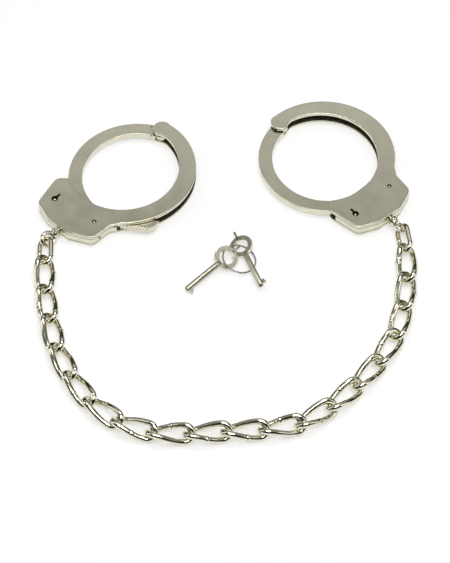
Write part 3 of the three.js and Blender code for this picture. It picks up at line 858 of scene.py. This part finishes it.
def build_split_ring():
    """Flattened spring wire wound twice round, its ends side by side."""
    co, _ = triangles_of("key_ring")
    centre = (co.max(0) + co.min(0)) / 2
    _, axes = np.linalg.eigh(np.cov((co - co.mean(0)).T))
    matrix = basis(axes[:, 2], axes[:, 1], centre)
    reach = np.abs((co - centre) @ axes[:, 2]).max() - 0.6
    turn = np.linspace(0, 4 * np.pi, COIL_STEPS)
    height = COIL_GAP * (1 / (1 + np.exp(-(turn - 2 * np.pi) * 2.4)) - 0.5)
    path = np.stack([reach * np.cos(turn), reach * np.sin(turn), height], 1)
    ring = flattened(COIL_TALL, COIL_ACROSS, COIL_SIDES)
    points, faces = [], []
    for i, p in enumerate(path):
        out = np.array((math.cos(turn[i]), math.sin(turn[i]), 0))
        points.append(p + ring[:, :1] * np.array((0, 0, 1.0)) + ring[:, 1:] * out)
    for a in range(0, (COIL_STEPS - 1) * COIL_SIDES, COIL_SIDES):
        b = a + COIL_SIDES
        for k in range(COIL_SIDES):
            m = (k + 1) % COIL_SIDES
            faces.append((a + k, a + m, b + m, b + k))
    faces.append(tuple(reversed(range(COIL_SIDES))))
    faces.append(tuple(range((COIL_STEPS - 1) * COIL_SIDES, COIL_STEPS * COIL_SIDES)))
    points = moved(np.vstack(points), matrix)
    made = add_piece("key_ring_wire", points, faces, "key_ring", (SPRING,))
    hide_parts("key_ring")


# ---- studio --------------------------------------------------------------------------------------------
def set_camera():
    data = bpy.data.cameras.new("camera")
    data.lens = LENS
    data.sensor_width = SENSOR
    data.sensor_fit = "HORIZONTAL"
    data.clip_end = 50
    camera = bpy.data.objects.new("camera", data)
    bpy.context.scene.collection.objects.link(camera)
    tilt = math.radians(ELEVATION)
    place = Vector(TARGET) + DISTANCE * Vector((0, -math.cos(tilt), math.sin(tilt)))
    turn = Matrix.Rotation(math.radians(90) - tilt, 4, "X") @ Matrix.Rotation(math.radians(ROLL), 4, "Z")
    camera.matrix_world = Matrix.Translation(place) @ turn
    bpy.context.scene.camera = camera


def softbox(name, place, size, glow, look=(0, 0, 0)):
    """Rectangular lamp of even brightness; glow is that brightness, where the white table's is about 1."""
    data = bpy.data.lights.new(name, "AREA")
    data.shape = "RECTANGLE"
    data.size, data.size_y = size
    data.energy = glow * math.pi * size[0] * size[1]
    light = bpy.data.objects.new(name, data)
    light.location = place
    light.rotation_euler = (Vector(look) - Vector(place)).to_track_quat("-Z", "Y").to_euler()
    light.visible_camera = False
    bpy.context.scene.collection.objects.link(light)


def set_world():
    """Grey studio, dim round the horizon and round the camera, which the wires' middles mirror."""
    world = bpy.data.worlds.new("studio")
    world.use_nodes = True
    tree = world.node_tree
    place = node(tree, "TexCoord").outputs["Generated"]
    split = node(tree, "SeparateXYZ", {0: place})
    made = node(tree, "ValToRGB", {"Fac": split.outputs["Z"]})
    ramp = made.color_ramp
    ramp.elements[0].position, ramp.elements[0].color = 0.0, (0.03, 0.03, 0.026, 1)
    ramp.elements[1].position, ramp.elements[1].color = 1.0, (0.45, 0.45, 0.44, 1)
    for position, value in ((0.5, 0.04), (0.66, 0.1), (0.74, 0.24), (0.82, 0.24), (0.9, 0.3)):
        ramp.elements.new(position).color = (value, value, value * 0.98, 1)
    tilt = math.radians(ELEVATION)
    camera_way = (0, -math.cos(tilt), math.sin(tilt))
    towards = node(tree, "VectorMath", {0: place, 1: camera_way}, operation="DOT_PRODUCT")
    shade = spread(tree, towards.outputs["Value"], 1.0, 0.06, 0.72, 0.9)
    background = tree.nodes["Background"]
    tree.links.new(made.outputs[0], background.inputs["Color"])
    tree.links.new(shade, background.inputs["Strength"])
    bpy.context.scene.world = world


def build_studio():
    """White table, two lamps overhead with a gap between them, one behind and one on each side."""
    mesh = bpy.data.meshes.new("table_top")
    half, drop = 4.0, -0.00004
    corners = [(-half, -half, drop), (half, -half, drop), (half, half, drop), (-half, half, drop)]
    mesh.from_pydata(corners, [], [(0, 1, 2, 3)])
    mesh.materials.append(table_top("pale_table"))
    floor = bpy.data.objects.new("table_top", mesh)
    bpy.context.scene.collection.objects.link(floor)
    softbox("overhead_front", (0.1, -0.85, 2.4), (1.7, 0.7), 7.0)
    softbox("overhead_back", (0.1, 0.62, 2.4), (1.7, 0.4), 6.0)
    softbox("back_panel", (0.0, 1.26, 1.14), (2.6, 0.5), 0.63)
    softbox("left_bank", (-2.3, 0.3, 1.2), (0.9, 2.2), 1.4)
    softbox("right_bank", (2.3, -0.3, 1.3), (0.9, 2.0), 1.4)
    set_world()
    bpy.context.scene.view_settings.view_transform = "Standard"


# ---- the set -------------------------------------------------------------------------------------------
set_camera()
for side in SIDES:
    build_case(side)
    build_lock_work(side)
    build_jaw(side)
    build_swivel(side)
for number in range(1, 21):
    build_link(number)
for key in ("key_a", "key_b"):
    build_key(key)
build_split_ring()
build_studio()
